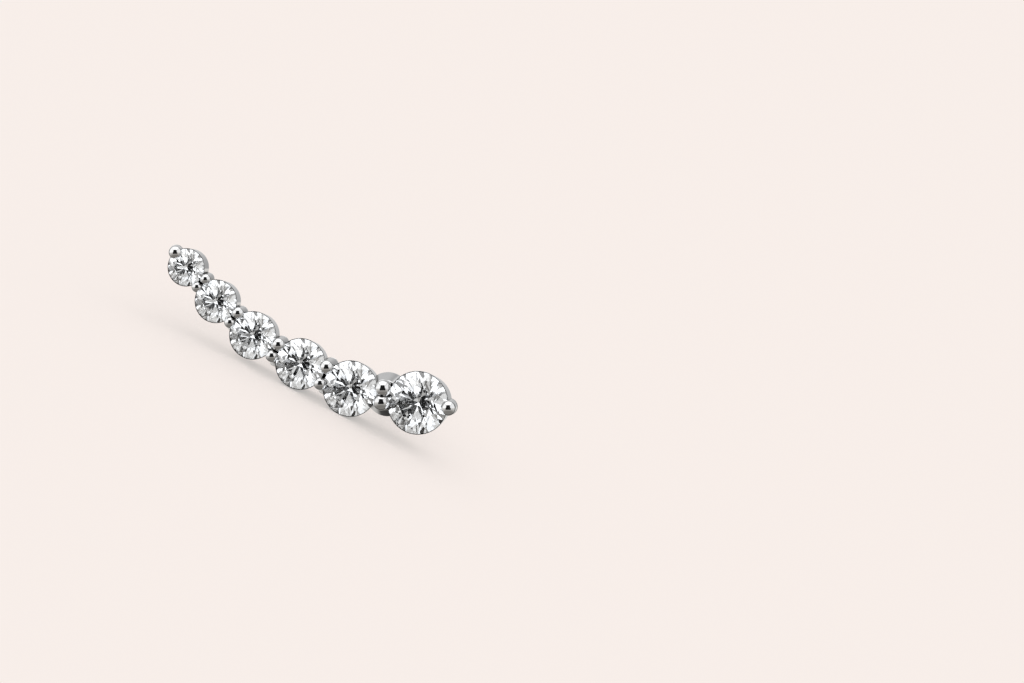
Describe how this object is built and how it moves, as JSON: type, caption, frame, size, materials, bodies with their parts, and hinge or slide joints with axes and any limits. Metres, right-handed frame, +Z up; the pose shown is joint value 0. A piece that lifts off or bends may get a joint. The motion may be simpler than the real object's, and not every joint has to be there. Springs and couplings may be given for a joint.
{
  "type": "ear climber",
  "caption": "Curved ear climber of graduated round brilliants in tapered cups with shared ball-headed prongs, and a straight ear post behind.",
  "frame": {"origin": "middle of the underside of the box around the climber, on the surface that it rests on", "axes": "+Z up from the surface, +X along the climber from its small end to its large end, -Y the way the stones face"},
  "size_m": [0.0218, 0.0138, 0.0051],
  "materials": {
    "white_gold": "mirror-polished white gold",
    "clear_stone": "polished colourless facets"
  },
  "bodies": {
    "root": {"setting": "white_gold", "stone_1": "clear_stone", "stone_2": "clear_stone", "stone_3": "clear_stone", "stone_4": "clear_stone", "stone_5": "clear_stone", "stone_6": "clear_stone"}
  },
  "joints": []
}
